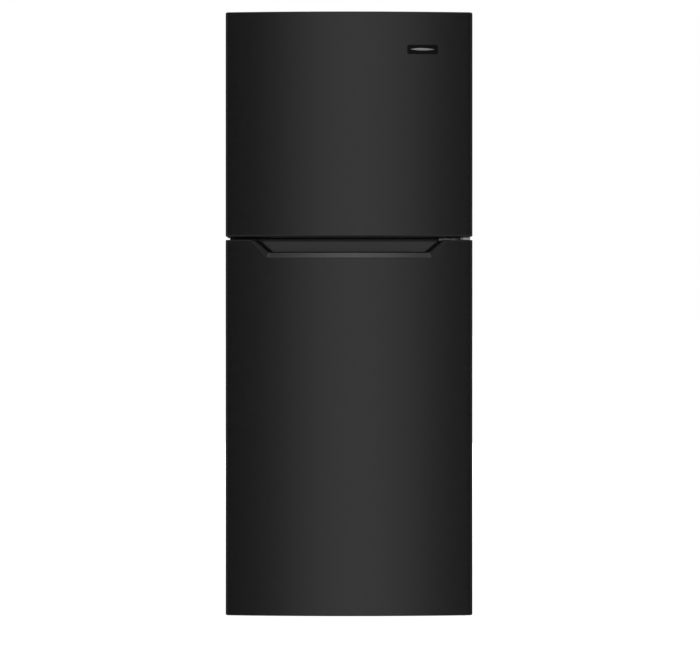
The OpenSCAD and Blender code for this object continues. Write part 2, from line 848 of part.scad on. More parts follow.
// Rear wall of the freezer, with the fan's grille, the air return and the gate's rails
cover_y = [196, 199];
module evaporator_cover()
    color([0.93, 0.93, 0.92]) {
        difference() {
            slab([-freezer_in, freezer_in], cover_y, freezer_z);
            for (i = [-5 : 5])
                let (half = sqrt(52 * 52 - i * i * 81))
                slab([-half, half], [190, 205],
                    [fan_z + i * 9 - 2.5, fan_z + i * 9 + 2.5]);
            for (x = [-180 : 30 : 180])
                slab([x - 10, x + 10], [190, 205], [992, 1006]);
            gate_slots(0);
        }
        for (up = [0, 1])
            translate([0, 0, gate_z]) mirror([0, 0, up]) {
                slab([-52, 52], [190, 196.5], [16, 19]);
                slab([-52, 52], [190, 192.7], [13, 19]);
            }
    }

module fan_motor()
    color([0.2, 0.2, 0.21]) {
        rod_y(0, fan_z, 27, [216, 250]);
        rod_y(0, fan_z, 2.5, [204, 216.5]);
        slab([-60, 60], [249, freezer_back], [fan_z - 8, fan_z + 8]);
    }

module fan_blade()
    color([0.9, 0.9, 0.9])
        difference() {
            union() {
                rod_y(0, fan_z, 13, [203, 214]);
                for (a = [0 : 72 : 288])
                    translate([0, 208.5, fan_z]) rotate([0, a, 0])
                        translate([30, 0, 0]) rotate([25, 0, 0])
                            cube([40, 1.6, 20], center = true);
            }
            rod_y(0, fan_z, 2.56, [204, 216]);
        }

// Three air slots, which line up when the gate is slid by one slot's width
module gate_slots(shift)
    for (x = [-4, 12, 28])
        translate([x + shift, 0, gate_z]) slab([-4, 4], [190, 205], [-10, 10]);

// Sliding plate that opens and closes the three slots behind it
module airflow_gate()
    color([0.85, 0.87, 0.9])
        difference() {
            union() {
                slab([-36, 46], [193, 195.7], [gate_z - 15.7, gate_z + 15.7]);
                slab([-30, -18], [184, 193.5], [gate_z - 10, gate_z + 10]);
            }
            gate_slots(8);
        }

// Air tower on the refrigerator's rear wall
module air_duct_cover()
    color([0.93, 0.93, 0.92])
        difference() {
            union() {
                slab([-62, 62], [262, fridge_back], [500, fridge_z[1]]);
                slab([-62, 62], [222, fridge_back], [850, fridge_z[1]]);
            }
            slab([-59, 59], [265, fridge_back + 1], [503, fridge_z[1] + 1]);
            slab([-59, 59], [225, fridge_back + 1], [853, fridge_z[1] + 1]);
            for (z = [540, 620, 740, 800])
                both_sides() slab([16, 52], [255, 270], [z, z + 8]);
            for (z = [862, 876]) slab([-50, 50], [215, 228], [z, z + 6]);
        }

// ------------------------------------------------ refrigerator fittings

box_y = [-160, 60];
module control_box()
    color([0.9, 0.9, 0.9])
        difference() {
            slab([-120, 120], box_y, [852, fridge_z[1]]);
            slab([-117, 117], [box_y[0] + 3, box_y[1] - 3], [855, fridge_z[1] + 1]);
            slab([-92, 40], [-110, 40], [850, 856]);
            rod_y(knob_x, knob_z, 4, [box_y[0] - 1, box_y[0] + 4]);
        }

module light_cover()
    color([0.95, 0.95, 0.95, 0.6])
        difference() {
            union() {
                slab([-92, 40], [-110, 40], [852, 855]);
                slab([-88, 36], [-106, 36], [846, 853]);
            }
            slab([-86, 34], [-104, 34], [848, 856]);
        }

module light_bulb()
    color([1, 0.97, 0.9]) {
        rod_x([-70, -5], -36, 874, 10);
        rod_x([-5, 16], -36, 874, 8);
        slab([16, 24], [-50, -22], [855, 892]);
    }

module temperature_knob()
    color([0.85, 0.86, 0.88]) {
        rod_y(knob_x, knob_z, 18, [box_y[0] - 8, box_y[0] - 1]);
        slab([knob_x - 3, knob_x + 3], [box_y[0] - 17, box_y[0] - 7],
            [knob_z - 17, knob_z + 17]);
        rod_y(knob_x, knob_z, 3.94, [box_y[0] - 2, box_y[0] + 8]);
    }

module light_switch()
    color([0.9, 0.9, 0.9])
        difference() {
            slab([switch_x - 13, switch_x + 13], [-222, -190], [868, fridge_z[1]]);
            rod_y(switch_x, switch_z, 4.08, [-223, -196]);
        }

module switch_plunger()
    color([0.95, 0.95, 0.95]) rod_y(switch_x, switch_z, 4, [ridge_y + 0.3, -204]);

// Welded wire shelf with a raised front rail
module freezer_shelf()
    color([0.95, 0.95, 0.95]) {
        half = freezer_in - 2;
        for (i = [-13 : 13]) wire_y(i * 17.5, wire_shelf_z + 2.6, 1.5, [-128, 188]);
        for (y = [-128, -20, 80, 188]) wire_x(y, wire_shelf_z, 2.2, [-half, half]);
        wire_x(-128, wire_shelf_z + 12, 2.2, [-half, half]);
        for (x = [-half + 1, -half / 2, 0, half / 2, half - 1])
            slab([x - 1, x + 1], [-129, -127], [wire_shelf_z - 1, wire_shelf_z + 13]);
    }
module wire_y(x, z, r, y)
    translate([x, y[0], z]) rotate([-90, 0, 0]) cylinder(r = r, h = y[1] - y[0], $fn = 8);
module wire_x(y, z, r, x)
    translate([x[0], y, z]) rotate([0, 90, 0]) cylinder(r = r, h = x[1] - x[0], $fn = 8);

shelf_t = 4;
shelf_y = [-146, 254];
module glass_shelves()
    color([0.7, 0.85, 0.82, 0.4])
        for (z = shelf_heights)
            slab([-fridge_in + 2, fridge_in - 2], shelf_y, [z, z + shelf_t]);

module shelf_trims()
    color([0.92, 0.92, 0.92])
        for (z = shelf_heights)
            difference() {
                union() {
                    slab([-fridge_in + 2, fridge_in - 2],
                        [shelf_y[0] - 4, shelf_y[0] + 12], [z - 3, z + 8]);
                    slab([-fridge_in + 10, fridge_in - 10],
                        [shelf_y[1] - 10, shelf_y[1] + 3], [z - 3, z + 12]);
                }
                slab([-fridge_in, fridge_in], shelf_y, [z, z + shelf_t]);
                slab([-fridge_in, fridge_in], [shelf_y[0] + 4, shelf_y[1] - 4],
                    [z + shelf_t - 1, z + 20]);
            }

// Clear drawer with a thicker front and a pull along its top edge
crisper_x = [6, 246];
crisper_y = [-130, 88];
crisper_z = [fridge_z[0] + 0.5, 282];
module crisper()
    color([0.8, 0.9, 0.95, 0.5])
        difference() {
            union() {
                slab(crisper_x, crisper_y, crisper_z);
                slab(crisper_x, [crisper_y[0] - 8, crisper_y[0] + 1],
                    [crisper_z[1] - 12, crisper_z[1]]);
            }
            slab([crisper_x[0] + wall, crisper_x[1] - wall],
                [crisper_y[0] + 4, crisper_y[1] - wall],
                [crisper_z[0] + wall, crisper_z[1] + 1]);
        }

module right_crisper() crisper();
module left_crisper() mirror([1, 0, 0]) crisper();

// -------------------------------------------------- hinges, legs, rollers

// Flat arm from the hinge pin back to a rectangle
arm_r = 11;
module hinge_arm(x, y, z) {
    rod_z(hinge_x, hinge_y, z, arm_r);
    slab([hinge_x - arm_r, hinge_x + arm_r], [hinge_y, y[0] + 1], z);
    slab(x, y, z);
}

module top_hinge()
    color([0.75, 0.76, 0.78])
        difference() {
            union() {
                hinge_arm([216, 290], [-252, -198], [cabinet_top, cabinet_top + plate]);
                rod_z(hinge_x, hinge_y, [door_top - bush_l + 2, cabinet_top + 1], pin_r);
            }
            screw_shanks(screw_r);
        }

module top_hinge_cover()
    color([0.05, 0.05, 0.055])
        difference() {
            slab([208, 294], [-259, -190], [cabinet_top, overall_h]);
            slab([210, 292], [-257, -192], [cabinet_top - 1, overall_h - 2]);
            slab([hinge_x - arm_r - 1, hinge_x + arm_r + 1], [-260, -255],
                [cabinet_top - 1, cabinet_top + plate + 0.5]);
        }

center_z = (freezer_door_z + fridge_door_top) / 2;
arm_t = 6;
module center_hinge()
    color([0.75, 0.76, 0.78])
        difference() {
            union() {
                hinge_arm([268, 296], [y_cabinet - plate, y_cabinet],
                    [center_z - arm_t / 2, center_z + arm_t / 2]);
                slab([hinge_x, 296], [hinge_y - arm_r, y_cabinet],
                    [center_z - arm_t / 2, center_z + arm_t / 2]);
                slab([224, 292], [y_cabinet - plate, y_cabinet],
                    [center_z - 14, center_z + 14]);
                rod_z(hinge_x, hinge_y, [center_z - 20, center_z + 20], pin_r);
            }
            screw_shanks(screw_r);
        }

leg_plate_z = cabinet_bottom - 5.5;
module bottom_hinge()
    color([0.75, 0.76, 0.78])
        difference() {
            union() {
                hinge_arm([232, 292], [-250, -200], [leg_plate_z - plate, leg_plate_z]);
                rod_z(hinge_x, hinge_y, [leg_plate_z - 1, door_clear + bush_l - 2], pin_r);
            }
            rod_z(leg_x, leg_y, [0, 40], stud_r + 1);
            for (p = bottom_screws) rod_z(p.x, p.y, [0, 40], screw_r);
        }

module hinge_screws()
    color([0.8, 0.8, 0.82]) {
        screw_shanks(screw_r);
        for (p = top_screws)
            rod_z(p.x, p.y, [cabinet_top + plate, cabinet_top + plate + 3], 5);
        for (p = center_screws)
            rod_y(p.x, p.y, 5, [y_cabinet - plate - 3, y_cabinet - plate]);
        for (p = bottom_screws) {
            rod_z(p.x, p.y, [leg_plate_z - plate, cabinet_bottom], screw_r);
            rod_z(p.x, p.y, [leg_plate_z - plate - 3, leg_plate_z - plate], 5);
        }
    }

// Buttons over the unused hinge holes on the left
module hinge_hole_plugs()
    color([0.05, 0.05, 0.055]) {
        for (p = top_screws) rod_z(-p.x, p.y, [cabinet_top, cabinet_top + 1.5], 5);
        for (p = center_screws) rod_y(-p.x, p.y, 5, [y_cabinet - 1.5, y_cabinet]);
    }

// Levelling leg: a hexagonal foot on a threaded stud
module leg()
    color([0.15, 0.15, 0.15])
        translate([leg_x, leg_y, 0]) {
            rod_z(0, 0, [0, 5], 18);
            cylinder(r = 13, h = 12, $fn = 6);
            rod_z(0, 0, [11, 46], stud_r);
        }
module right_leg() leg();
module left_leg() mirror([1, 0, 0]) leg();

module roller()
    color([0.2, 0.2, 0.2])
        difference() {
            rod_x([roller_x - 8, roller_x + 8], roller_y, roller_r, roller_r);
            rod_x([roller_x - 9, roller_x + 9], roller_y, roller_r, axle_r + 0.08);
        }
module right_roller() roller();
module left_roller() mirror([1, 0, 0]) roller();

cabinet_shell();
back_panel();
cabinet_insulation();
freezer_liner();
fridge_liner();
mullion_rail();
base_pan();
front_rail();
compressor_tray();
compressor();
compressor_grommets();
compressor_relay();
refrigerant_lines();
condenser_coil();
drip_pan();
drain_tube();
machine_cover();
cord_gland();
evaporator();
defrost_heater();
evaporator_cover();
fan_motor();
air_duct_cover();
control_box();
light_bulb();
light_cover();
light_switch();
freezer_shelf();
glass_shelves();
shelf_trims();
top_hinge();
top_hinge_cover();
center_hinge();
bottom_hinge();
hinge_screws();
hinge_hole_plugs();
left_leg();
right_leg();
left_roller();
right_roller();
left_crisper();
right_crisper();
temperature_knob();
airflow_gate();
fan_blade();
switch_plunger();
freezer_door_skin();
freezer_door_foam();
freezer_door_liner();
freezer_door_caps();
freezer_door_gasket();
freezer_door_bins();
badge();
fridge_door_skin();
fridge_door_foam();
fridge_door_liner();
fridge_door_caps();
fridge_door_handle();
fridge_door_gasket();
fridge_door_bins();
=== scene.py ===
import json
import math

import bmesh
import bpy
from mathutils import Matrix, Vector

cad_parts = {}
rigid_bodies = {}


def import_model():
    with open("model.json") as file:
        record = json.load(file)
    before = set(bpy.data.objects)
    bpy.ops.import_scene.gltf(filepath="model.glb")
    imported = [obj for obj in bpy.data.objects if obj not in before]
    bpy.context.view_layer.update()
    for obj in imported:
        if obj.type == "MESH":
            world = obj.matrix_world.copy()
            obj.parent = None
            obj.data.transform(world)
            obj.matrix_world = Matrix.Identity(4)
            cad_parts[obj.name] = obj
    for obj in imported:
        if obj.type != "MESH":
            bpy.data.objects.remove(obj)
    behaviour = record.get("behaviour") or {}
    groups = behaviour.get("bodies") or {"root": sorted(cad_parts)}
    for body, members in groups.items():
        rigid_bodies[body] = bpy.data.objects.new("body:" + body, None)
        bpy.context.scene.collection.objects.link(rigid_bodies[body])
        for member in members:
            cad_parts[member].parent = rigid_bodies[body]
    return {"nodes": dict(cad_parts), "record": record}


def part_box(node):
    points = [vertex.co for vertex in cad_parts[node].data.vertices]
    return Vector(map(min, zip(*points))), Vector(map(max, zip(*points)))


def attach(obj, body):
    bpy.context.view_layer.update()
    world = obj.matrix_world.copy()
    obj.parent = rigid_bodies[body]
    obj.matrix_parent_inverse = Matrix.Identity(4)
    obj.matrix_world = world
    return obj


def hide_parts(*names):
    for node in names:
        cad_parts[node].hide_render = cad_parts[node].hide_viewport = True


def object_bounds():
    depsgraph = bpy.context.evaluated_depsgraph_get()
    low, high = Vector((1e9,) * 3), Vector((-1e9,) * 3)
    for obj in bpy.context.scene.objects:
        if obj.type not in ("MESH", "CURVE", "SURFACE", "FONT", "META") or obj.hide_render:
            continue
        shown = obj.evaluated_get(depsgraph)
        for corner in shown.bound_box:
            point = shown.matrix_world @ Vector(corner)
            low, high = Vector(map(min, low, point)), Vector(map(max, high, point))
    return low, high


for old in list(bpy.data.objects):
    bpy.data.objects.remove(old)
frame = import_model()
cad_bounds = [list(corner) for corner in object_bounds()]
scene = bpy.context.scene
scene.view_settings.view_transform = "Standard"
nodes = frame["nodes"]
body_of = {n: b for b, ns in frame["record"]["behaviour"]["bodies"].items() for n in ns}
slot_of = {s["node"]: s["material_slot"] for s in frame["record"]["subparts"]}
MM = 0.001

# ---------------------------------------------------------------- camera

CAMERA_DISTANCE = 2.4
CAMERA_HEIGHT = 0.7318
CAMERA_X = 0.0023
FOCAL_PX = 993
IMAGE_W = 700
crown_y = cad_bounds[0][1]
lens = bpy.data.cameras.new("camera")
lens.sensor_width = 36
lens.lens = FOCAL_PX / IMAGE_W * lens.sensor_width
camera = bpy.data.objects.new("camera", lens)
camera.location = (CAMERA_X, crown_y - CAMERA_DISTANCE, CAMERA_HEIGHT)
camera.rotation_euler = (math.radians(90), 0, 0)
scene.collection.objects.link(camera)
scene.camera = camera

# -------------------------------------------------------------- materials


def material(name, color, rough, metallic=0.0, vary=0.12, rough_vary=0.03,
             scale=60.0, bump=0.0, bump_scale=900.0, stretch=(1, 1, 1), **inputs):
    """A shader whose colour, gloss and surface vary with procedural noise in object space."""
    mat = bpy.data.materials.new(name)
    mat.use_nodes = True
    tree = mat.node_tree
    link = tree.links.new
    shader = tree.nodes["Principled BSDF"]
    coord = tree.nodes.new("ShaderNodeTexCoord")
    mapping = tree.nodes.new("ShaderNodeMapping")
    mapping.inputs["Scale"].default_value = stretch
    link(coord.outputs["Object"], mapping.inputs["Vector"])
    noise = tree.nodes.new("ShaderNodeTexNoise")
    noise.inputs["Scale"].default_value = scale
    noise.inputs["Detail"].default_value = 4
    link(mapping.outputs["Vector"], noise.inputs["Vector"])
    ramp = tree.nodes.new("ShaderNodeValToRGB")
    low, high = ramp.color_ramp.elements
    low.position, high.position = 0.3, 0.7
    low.color = [c * (1 - vary) for c in color] + [1]
    high.color = [min(1, c * (1 + vary)) for c in color] + [1]
    link(noise.outputs["Fac"], ramp.inputs["Fac"])
    link(ramp.outputs["Color"], shader.inputs["Base Color"])
    spread = tree.nodes.new("ShaderNodeMapRange")
    spread.inputs["To Min"].default_value = rough - rough_vary
    spread.inputs["To Max"].default_value = rough + rough_vary
    link(noise.outputs["Fac"], spread.inputs["Value"])
    link(spread.outputs["Result"], shader.inputs["Roughness"])
    if bump:
        fine = tree.nodes.new("ShaderNodeTexNoise")
        fine.inputs["Scale"].default_value = bump_scale
        fine.inputs["Detail"].default_value = 2
        link(mapping.outputs["Vector"], fine.inputs["Vector"])
        relief = tree.nodes.new("ShaderNodeBump")
        relief.inputs["Strength"].default_value = bump
        relief.inputs["Distance"].default_value = 0.0003
        link(fine.outputs["Fac"], relief.inputs["Height"])
        link(relief.outputs["Normal"], shader.inputs["Normal"])
    shader.inputs["Metallic"].default_value = metallic
    for key, value in inputs.items():
        shader.inputs[key.replace("_", " ")].default_value = value
    return mat


M = {
    "black_steel": material("black_steel", (0.0042, 0.0042, 0.0044), 0.22, bump=0.02),
    "black_plastic": material("black_plastic", (0.012, 0.012, 0.0125), 0.42, bump=0.08),
    "handle_plastic": material("handle_plastic", (0.013, 0.013, 0.0133), 0.33, bump=0.05,
                               **{"Specular_IOR_Level": 0.66}),
    "badge_metal": material("badge_metal", (0.48, 0.48, 0.5), 0.35, metallic=1.0,
                            scale=400, stretch=(0.05, 1, 1)),
    "white_plastic": material("white_plastic", (0.74, 0.75, 0.75), 0.28, vary=0.012,
                              rough_vary=0.008, scale=9, bump=0.03, bump_scale=700),
    "grey_plastic": material("grey_plastic", (0.36, 0.38, 0.41), 0.35, vary=0.04),
    "clear_plastic": material("clear_plastic", (0.70, 0.77, 0.81), 0.12, vary=0.03,
                              rough_vary=0.02, scale=20, Alpha=0.26),
    "frosted_plastic": material("frosted_plastic", (0.85, 0.86, 0.86), 0.45, vary=0.02,
                                Alpha=0.8),
    "glass": material("glass", (0.42, 0.62, 0.56), 0.05, vary=0.03, rough_vary=0.01,
                      scale=8, Alpha=0.3),
    "foam": material("foam", (0.78, 0.68, 0.42), 0.9, scale=300, bump=0.4),
    "gasket_rubber": material("gasket_rubber", (0.018, 0.018, 0.019), 0.6, bump=0.1),
    "zinc_steel": material("zinc_steel", (0.62, 0.63, 0.66), 0.32, metallic=1.0,
                           scale=90, vary=0.1),
    "rear_steel": material("rear_steel", (0.06, 0.062, 0.066), 0.5, vary=0.035,
                           scale=150, bump=0.08, bump_scale=700),
    "white_wire": material("white_wire", (0.78, 0.78, 0.78), 0.3, vary=0.02),
    "compressor_black": material("compressor_black", (0.008, 0.008, 0.008), 0.22),
    "copper": material("copper", (0.72, 0.33, 0.18), 0.3, metallic=1.0, scale=200),
    "aluminium": material("aluminium", (0.75, 0.76, 0.78), 0.35, metallic=1.0),
    "black_rubber": material("black_rubber", (0.02, 0.02, 0.02), 0.75, bump=0.1),
    "lamp": material("lamp", (0.95, 0.93, 0.88), 0.35, vary=0.02),
}
M["badge_black"] = material("badge_black", (0.002, 0.002, 0.002), 0.25,
                            **{"Specular_IOR_Level": 0.12})

# ---------------------------------------------------------- mesh helpers

SMOOTH_ANGLE = math.radians(32)


def piece(name, bm, mat, body, replaces=(), sharp=SMOOTH_ANGLE):
    """Turns a bmesh into a smooth-shaded piece that rides on a body."""
    bmesh.ops.remove_doubles(bm, verts=bm.verts, dist=1e-6)
    bmesh.ops.recalc_face_normals(bm, faces=bm.faces)
    for face in bm.faces:
        face.smooth = True
    for edge in bm.edges:
        edge.smooth = len(edge.link_faces) == 2 and edge.calc_face_angle(0) < sharp
    mesh = bpy.data.meshes.new(name)
    bm.to_mesh(mesh)
    bm.free()
    obj = bpy.data.objects.new(name, mesh)
    scene.collection.objects.link(obj)
    mesh.materials.append(M[mat])
    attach(obj, body)
    if replaces:
        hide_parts(*replaces)
    return obj


def loft(bm, rings, close=(True, True), joined=True, round_trip=False):
    """Skins rings of points; joined closes each ring, round_trip joins last to first."""
    made = [[bm.verts.new(p) for p in ring] for ring in rings]
    n = len(made[0])
    pairs = list(zip(made, made[1:])) + ([(made[-1], made[0])] if round_trip else [])
    for a, b in pairs:
        for i in range(n if joined else n - 1):
            j = (i + 1) % n
            bm.faces.new((a[i], a[j], b[j], b[i]))
    if not round_trip:
        for ring, wanted in ((made[0], close[0]), (made[-1], close[1])):
            if wanted:
                bm.faces.new(ring)
    return made


def rounded_rect(x0, x1, y0, y1, r, steps=6):
    """Corner-rounded rectangle as 2-D points, counter-clockwise."""
    points = []
    for cx, cy, start in ((x1 - r, y1 - r, 0), (x0 + r, y1 - r, 90),
                          (x0 + r, y0 + r, 180), (x1 - r, y0 + r, 270)):
        for k in range(steps + 1):
            a = math.radians(start + 90 * k / steps)
            points.append((cx + r * math.cos(a), cy + r * math.sin(a)))
    return points


def quarter(r, steps=4):
    """(run, rise) along a quarter round of radius r, from upright to level."""
    return [(r * (1 - math.cos(math.radians(90 * k / steps))),
             r * math.sin(math.radians(90 * k / steps))) for k in range(steps + 1)]


def rounded_path(points, radii, steps=6):
    """Open 2-D path whose inner corners are arcs of the given radii; 0 keeps a point."""
    path = [tuple(points[0])]
    for before, at, after, r in zip(points, points[1:], points[2:], radii):
        at = Vector(at)
        if not r:
            path.append(tuple(at))
            continue
        u, v = (Vector(before) - at).normalized(), (Vector(after) - at).normalized()
        half = u.angle(v) / 2
        centre = at + (u + v).normalized() * (r / math.sin(half))
        start = at + u * (r / math.tan(half)) - centre
        end = at + v * (r / math.tan(half)) - centre
        for k in range(steps + 1):
            path.append(tuple(centre + start.lerp(end, k / steps).normalized() * r))
    return path + [tuple(points[-1])]


def lathe(bm, place, path, n=32):
    """Turns a path of (radius, height) pairs; place maps (u, v, height) to the frame."""
    turn = [2 * math.pi * k / n for k in range(n)]
    loft(bm, [[place(r * math.cos(a), r * math.sin(a), h) for a in turn]
              for r, h in path])


def tub(bm, place, x, y, depth, wall, r, floor_r, bead=0.0):
    """Open box with round corners, a rolled rim and an optional bead outside it.
    place maps (u, v, distance below the rim) to the frame."""
    arc = [math.radians(90 * k / 5) for k in range(6)]
    inner, outer_r = wall + bead, floor_r + wall / 2
    path = [(inner + floor_r * (1 - math.sin(a)), depth - wall - floor_r * (1 - math.cos(a)))
            for a in arc]
    path += [(inner - wall / 2 * (1 - math.cos(a)), wall / 2 * (1 - math.sin(a)))
             for a in arc]
    path += [(wall / 2 * (1 - math.sin(a)), wall / 2 * (1 - math.cos(a))) for a in arc]
    if bead:
        path += [(0, 4 * bead), (bead, 5 * bead)]
    path += [(bead + outer_r * (1 - math.cos(a)), depth - outer_r * (1 - math.sin(a)))
             for a in arc]
    loft(bm, [[place(u, v, w) for u, v in
               rounded_rect(x[0] + i, x[1] - i, y[0] + i, y[1] - i,
                            max(r - i, 0.5 * MM))] for i, w in path])


def box_mesh(bm, lo, hi, bevel=0.0, segments=2):
    """Adds a box between two corners, its edges rounded."""
    cube = bmesh.ops.create_cube(bm, size=1.0)
    verts = cube["verts"]
    size = Vector(hi) - Vector(lo)
    mid = (Vector(hi) + Vector(lo)) / 2
    for v in verts:
        v.co = Vector(v.co[i] * size[i] for i in range(3)) + mid
    if bevel:
        edges = list({e for v in verts for e in v.link_edges})
        bmesh.ops.bevel(bm, geom=edges, offset=min(bevel, min(size) * 0.45),
                        segments=segments, profile=0.5, affect="EDGES")


def softened(node, width=0.8 * MM, segments=2, mat=None, name=None):
    """The CAD node's own shape with its sharp edges rounded, standing for the node."""
    bm = bmesh.new()
    bm.from_mesh(nodes[node].data)
    bmesh.ops.remove_doubles(bm, verts=bm.verts, dist=2e-6)
    bmesh.ops.dissolve_limit(bm, angle_limit=math.radians(0.3), verts=bm.verts,
                             edges=bm.edges)
    sharp = [e for e in bm.edges
             if len(e.link_faces) == 2 and e.calc_face_angle(0) > SMOOTH_ANGLE]
    if width:
        bmesh.ops.bevel(bm, geom=sharp, offset=width, segments=segments,
                        profile=0.5, affect="EDGES", clamp_overlap=True)
    return piece(name or node + "_soft", bm, mat or slot_of[node], body_of[node],
                 (node,))


def boolean(obj, cutter, operation="DIFFERENCE"):
    """Cuts one piece with another mesh object and leaves the result in its mesh."""
    modifier = obj.modifiers.new("cut", "BOOLEAN")
    modifier.operation = operation
    modifier.solver = "EXACT"
    modifier.object = cutter
    bpy.context.view_layer.update()
    depsgraph = bpy.context.evaluated_depsgraph_get()
    result = bpy.data.meshes.new_from_object(obj.evaluated_get(depsgraph))
    bm = bmesh.new()
    bm.from_mesh(result)
    bmesh.ops.remove_doubles(bm, verts=bm.verts, dist=2e-6)
    bm.to_mesh(result)
    bm.free()
    obj.modifiers.clear()
    obj.data = result
    bpy.data.objects.remove(cutter)


def shade(obj):
    """Smooth shading after a cut, with its sharp edges kept."""
    for face in obj.data.polygons:
        face.use_smooth = True
    obj.data.set_sharp_from_angle(angle=SMOOTH_ANGLE)


def cutter(bm):
    mesh = bpy.data.meshes.new("cutter")
    bmesh.ops.recalc_face_normals(bm, faces=bm.faces)
    bm.to_mesh(mesh)
    bm.free()
    obj = bpy.data.objects.new("cutter", mesh)
    scene.collection.objects.link(obj)
    return obj


# ----------------------------------------------------------------- doors

BULGE = 7 * MM
EDGE_R = 8 * MM
DOOR_HALF = cad_bounds[1][0]
SKIN = 1 * MM
CAP_T = 3 * MM
CAP_R = 2.6 * MM
FRONT_STEPS = 96
EDGE_STEPS = 8
DOOR_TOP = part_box("fridge_door_caps")[1].z
DOOR_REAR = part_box("fridge_door_caps")[1].y
HINGE_X, HINGE_Y = DOOR_HALF - 20 * MM, crown_y + 36.5 * MM
CORE_GAP, CORE_REAR = 1.2 * MM, 3 * MM
BUSH_HOLE = [(7 * MM, -9 * MM), (7 * MM, 9 * MM)]
PIN_HOLE = [(11 * MM, -24 * MM), (11 * MM, 24 * MM)]
BUSH = [(4.08 * MM, -19 * MM), (4.08 * MM, -0.5 * MM), (4.5 * MM, -0.05 * MM),
        (6.5 * MM, -0.05 * MM), (6.95 * MM, -0.4 * MM), (6.95 * MM, -20 * MM)]


def front_y(x):
    return crown_y + BULGE * (x / DOOR_HALF) ** 2


def door_outline(inset, rear):
    """Plan outline of a door: crowned front, rounded edges, straight sides and rear."""
    r = EDGE_R - inset
    x1 = DOOR_HALF - EDGE_R
    y1 = front_y(x1) + inset
    arc = [math.radians(90 * k / EDGE_STEPS) for k in range(1, EDGE_STEPS + 1)]
    front = [x1 * (2 * i / FRONT_STEPS - 1) for i in range(FRONT_STEPS + 1)]
    return ([(x, front_y(x) + inset) for x in front]
            + [(x1 + r * math.sin(a), y1 + r * (1 - math.cos(a))) for a in arc]
            + [(x1 + r, rear), (-x1 - r, rear)]
            + [(-x1 - r * math.sin(a), y1 + r * (1 - math.cos(a))) for a in arc[::-1]])


# The scoop between the doors: its bevelled lip outside and its mouth inside
LIP_TOP, LIP_BOTTOM, LIP_H = 241 * MM, 200 * MM, 45 * MM
MOUTH_TOP, MOUTH_BOTTOM, MOUTH_H = 228 * MM, 194 * MM, 30 * MM
SCOOP_BACK = crown_y + 34 * MM
SCOOP_CORNER = 9 * MM
SEAM = 0.35 * MM


def scoop_path(t, high, narrow=0.0):
    """Outline of the scoop from its right end to its left; t is 0 at the lip's outer
    edge and 1 at the mouth, and narrow draws both ends in."""
    top, bottom, height = (a + (b - a) * t for a, b in
                           ((LIP_TOP, MOUTH_TOP), (LIP_BOTTOM, MOUTH_BOTTOM),
                            (LIP_H, MOUTH_H)))
    top, bottom = top - narrow, bottom - narrow
    low = DOOR_TOP - height
    if high > DOOR_TOP:
        half = [(top, high), (top, DOOR_TOP)]
    else:
        half = [(bottom + (top - bottom) * (high - low) / height, high)]
    half += [(bottom, low)] + [(bottom * (1 - i / 12), low) for i in range(1, 13)]
    whole = half + [(-x, z) for x, z in half[-2::-1]]
    corners = [0] * len(whole)
    corners[half.index((bottom, low))] = SCOOP_CORNER
    corners[len(whole) - 1 - half.index((bottom, low))] = SCOOP_CORNER
    return rounded_path(whole, corners[1:-1])


def scoop_prism(t, y, high):
    bm = bmesh.new()
    loft(bm, [[(x, depth, z) for x, z in scoop_path(t, high)] for depth in y])
    return bm


def scoop_hollow():
    """The hollow of the scoop: out through the door's face, over a soft bevel, then
    straight back to a flat rear wall."""
    lip = [(-0.05, 0), (0.0, 0.03), (0.06, 0.35), (0.14, 1.0), (0.86, 7.6),
           (0.93, 8.5), (0.98, 9.6), (1.0, 10.8), (1.005, 12.5)]
    over = DOOR_TOP + 20 * MM
    rings = [[(x, crown_y - 12 * MM, z) for x, z in scoop_path(-0.05, over)]]
    rings += [[(x, front_y(x) + depth * MM, z) for x, z in scoop_path(t, over)]
              for t, depth in lip]
    rings += [[(x, SCOOP_BACK - back * MM, z) for x, z in scoop_path(t, over, ends * MM)]
              for t, ends, back in ((1.0, 3, 6), (1.03, 4, 3.6), (1.08, 5.4, 1.8),
                                    (1.15, 7.2, 0.6), (1.25, 9.4, 0))]
    bm = bmesh.new()
    loft(bm, rings)
    return cutter(bm)


def door_skin(node, notched=False):
    """Folded steel front: a crowned sheet with its rear returns, open at its ends."""
    lo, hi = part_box(node)
    lip = 14 * MM
    rows = []
    for inset in (0, SKIN):
        outline = door_outline(inset, hi.y - inset)
        rear_right = FRONT_STEPS + 1 + EDGE_STEPS
        rows.append([(-DOOR_HALF + lip, hi.y - inset)] + outline[rear_right + 1:]
                    + outline[:rear_right + 1] + [(DOOR_HALF - lip, hi.y - inset)])
    bm = bmesh.new()
    section = rows[0] + rows[1][::-1]
    made = loft(bm, [[(x, y, z) for x, y in section] for z in (lo.z, hi.z)],
                close=(False, False))
    n = len(rows[0])
    for ring in made:
        for i in range(n - 1):
            bm.faces.new((ring[i], ring[i + 1], ring[2 * n - 2 - i], ring[2 * n - 1 - i]))
    obj = piece(node.replace("_skin", "_panel"), bm, "black_steel", body_of[node], (node,))
    if notched:
        boolean(obj, cutter(scoop_prism(-SEAM / (LIP_H - MOUTH_H),
                                        (crown_y - 9 * MM, crown_y + 20 * MM),
                                        DOOR_TOP + 15 * MM)))


